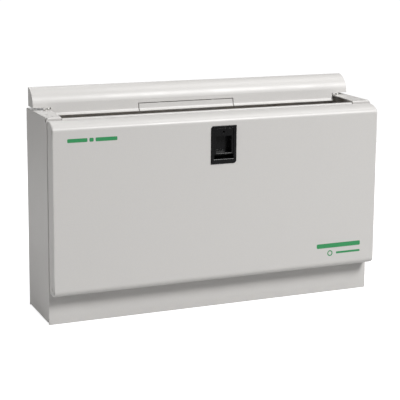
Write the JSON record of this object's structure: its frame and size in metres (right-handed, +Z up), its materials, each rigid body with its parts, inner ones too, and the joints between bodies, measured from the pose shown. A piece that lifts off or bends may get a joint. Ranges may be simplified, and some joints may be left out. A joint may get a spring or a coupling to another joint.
{
  "type": "breaker panel box",
  "caption": "Wide shallow steel breaker panel box with a drop-down front door, finger latch, plinth, rear top hood and a rail of circuit breakers inside.",
  "frame": {"origin": "on the floor under the middle of the whole box, in X and in Y", "axes": "+X along the row of breakers to the right as seen from the front, +Y from the door towards the wall, +Z up"},
  "size_m": [0.46, 0.118, 0.2936],
  "materials": {
    "painted_steel": "light warm grey powder coat, satin, fine texture",
    "latch_black": "black moulded plastic, satin",
    "device_plastic": "light grey moulded plastic",
    "toggle_black": "black moulded plastic, smooth",
    "switch_red": "red moulded plastic, smooth",
    "zinc_steel": "bright zinc plate",
    "brass": "milled brass",
    "copper": "bare copper strip",
    "insulator_grey": "mid grey moulded insulator",
    "lead_blue": "blue cable insulation",
    "label_white": "white label strip",
    "chart_paper": "printed card"
  },
  "bodies": {
    "box": {"rear_box": "painted_steel", "front_cover": "painted_steel", "top_hood": "painted_steel", "hood_knockout": "painted_steel", "cover_screws": "zinc_steel", "hood_screws": "zinc_steel", "rail_screws": "zinc_steel", "hinge_bracket_left": "zinc_steel", "hinge_bracket_right": "zinc_steel", "hinge_pin_left": "zinc_steel", "hinge_pin_right": "zinc_steel", "latch_keeper": "zinc_steel", "din_rail": "zinc_steel", "rail_support_left": "zinc_steel", "rail_support_right": "zinc_steel", "main_switch_body": "device_plastic", "blanking_plate": "device_plastic", "way_label_strip": "label_white", "busbar_comb": "copper", "busbar_insulator": "insulator_grey", "neutral_bar": "brass", "neutral_bar_screws": "zinc_steel", "earth_bar": "brass", "earth_bar_screws": "zinc_steel", "bar_supports": "insulator_grey", "neutral_link": "lead_blue", "earth_stud": "zinc_steel", "breaker_body_01": "device_plastic", "breaker_body_02": "device_plastic", "breaker_body_03": "device_plastic", "breaker_body_04": "device_plastic", "breaker_body_05": "device_plastic", "breaker_body_06": "device_plastic", "breaker_body_07": "device_plastic", "breaker_body_08": "device_plastic", "breaker_body_09": "device_plastic", "breaker_body_10": "device_plastic", "breaker_body_11": "device_plastic", "breaker_body_12": "device_plastic"},
    "door": {"door_panel": "painted_steel", "latch_bezel": "latch_black", "latch_spring": "zinc_steel", "circuit_chart": "chart_paper"},
    "latch": {"latch_slider": "latch_black"},
    "main_switch_lever": {"main_switch_toggle": "switch_red"},
    "breaker_lever_01": {"breaker_toggle_01": "toggle_black"},
    "breaker_lever_02": {"breaker_toggle_02": "toggle_black"},
    "breaker_lever_03": {"breaker_toggle_03": "toggle_black"},
    "breaker_lever_04": {"breaker_toggle_04": "toggle_black"},
    "breaker_lever_05": {"breaker_toggle_05": "toggle_black"},
    "breaker_lever_06": {"breaker_toggle_06": "toggle_black"},
    "breaker_lever_07": {"breaker_toggle_07": "toggle_black"},
    "breaker_lever_08": {"breaker_toggle_08": "toggle_black"},
    "breaker_lever_09": {"breaker_toggle_09": "toggle_black"},
    "breaker_lever_10": {"breaker_toggle_10": "toggle_black"},
    "breaker_lever_11": {"breaker_toggle_11": "toggle_black"},
    "breaker_lever_12": {"breaker_toggle_12": "toggle_black"}
  },
  "joints": [
    {"name": "door_hinge", "type": "hinge", "parent": "box", "child": "door", "pos_m": [0, -0.05, 0.05], "axis": [1, 0, 0], "range_deg": [0, 95]},
    {"name": "latch_slide", "type": "slide", "parent": "door", "child": "latch", "axis": [0, 0, -1], "range_m": [0, 0.005], "stiffness_N_per_m": 300, "springref_m": -0.002, "deforming": ["latch_spring"]},
    {"name": "main_switch_hinge", "type": "hinge", "parent": "box", "child": "main_switch_lever", "pos_m": [-0.18, -0.0354, 0.14], "axis": [1, 0, 0], "range_deg": [0, 76]},
    {"name": "breaker_hinge_01", "type": "hinge", "parent": "box", "child": "breaker_lever_01", "pos_m": [-0.153, -0.0354, 0.14], "axis": [1, 0, 0], "range_deg": [0, 76]},
    {"name": "breaker_hinge_02", "type": "hinge", "parent": "box", "child": "breaker_lever_02", "pos_m": [-0.135, -0.0354, 0.14], "axis": [1, 0, 0], "range_deg": [0, 76]},
    {"name": "breaker_hinge_03", "type": "hinge", "parent": "box", "child": "breaker_lever_03", "pos_m": [-0.117, -0.0354, 0.14], "axis": [1, 0, 0], "range_deg": [0, 76]},
    {"name": "breaker_hinge_04", "type": "hinge", "parent": "box", "child": "breaker_lever_04", "pos_m": [-0.099, -0.0354, 0.14], "axis": [1, 0, 0], "range_deg": [0, 76]},
    {"name": "breaker_hinge_05", "type": "hinge", "parent": "box", "child": "breaker_lever_05", "pos_m": [-0.081, -0.0354, 0.14], "axis": [1, 0, 0], "range_deg": [0, 76]},
    {"name": "breaker_hinge_06", "type": "hinge", "parent": "box", "child": "breaker_lever_06", "pos_m": [-0.063, -0.0354, 0.14], "axis": [1, 0, 0], "range_deg": [0, 76]},
    {"name": "breaker_hinge_07", "type": "hinge", "parent": "box", "child": "breaker_lever_07", "pos_m": [-0.045, -0.0354, 0.14], "axis": [1, 0, 0], "range_deg": [0, 76]},
    {"name": "breaker_hinge_08", "type": "hinge", "parent": "box", "child": "breaker_lever_08", "pos_m": [-0.027, -0.0354, 0.14], "axis": [1, 0, 0], "range_deg": [0, 76]},
    {"name": "breaker_hinge_09", "type": "hinge", "parent": "box", "child": "breaker_lever_09", "pos_m": [-0.009, -0.0354, 0.14], "axis": [1, 0, 0], "range_deg": [0, 76]},
    {"name": "breaker_hinge_10", "type": "hinge", "parent": "box", "child": "breaker_lever_10", "pos_m": [0.009, -0.0354, 0.14], "axis": [1, 0, 0], "range_deg": [0, 76]},
    {"name": "breaker_hinge_11", "type": "hinge", "parent": "box", "child": "breaker_lever_11", "pos_m": [0.027, -0.0354, 0.14], "axis": [1, 0, 0], "range_deg": [0, 76]},
    {"name": "breaker_hinge_12", "type": "hinge", "parent": "box", "child": "breaker_lever_12", "pos_m": [0.045, -0.0354, 0.14], "axis": [1, 0, 0], "range_deg": [0, 76]}
  ]
}
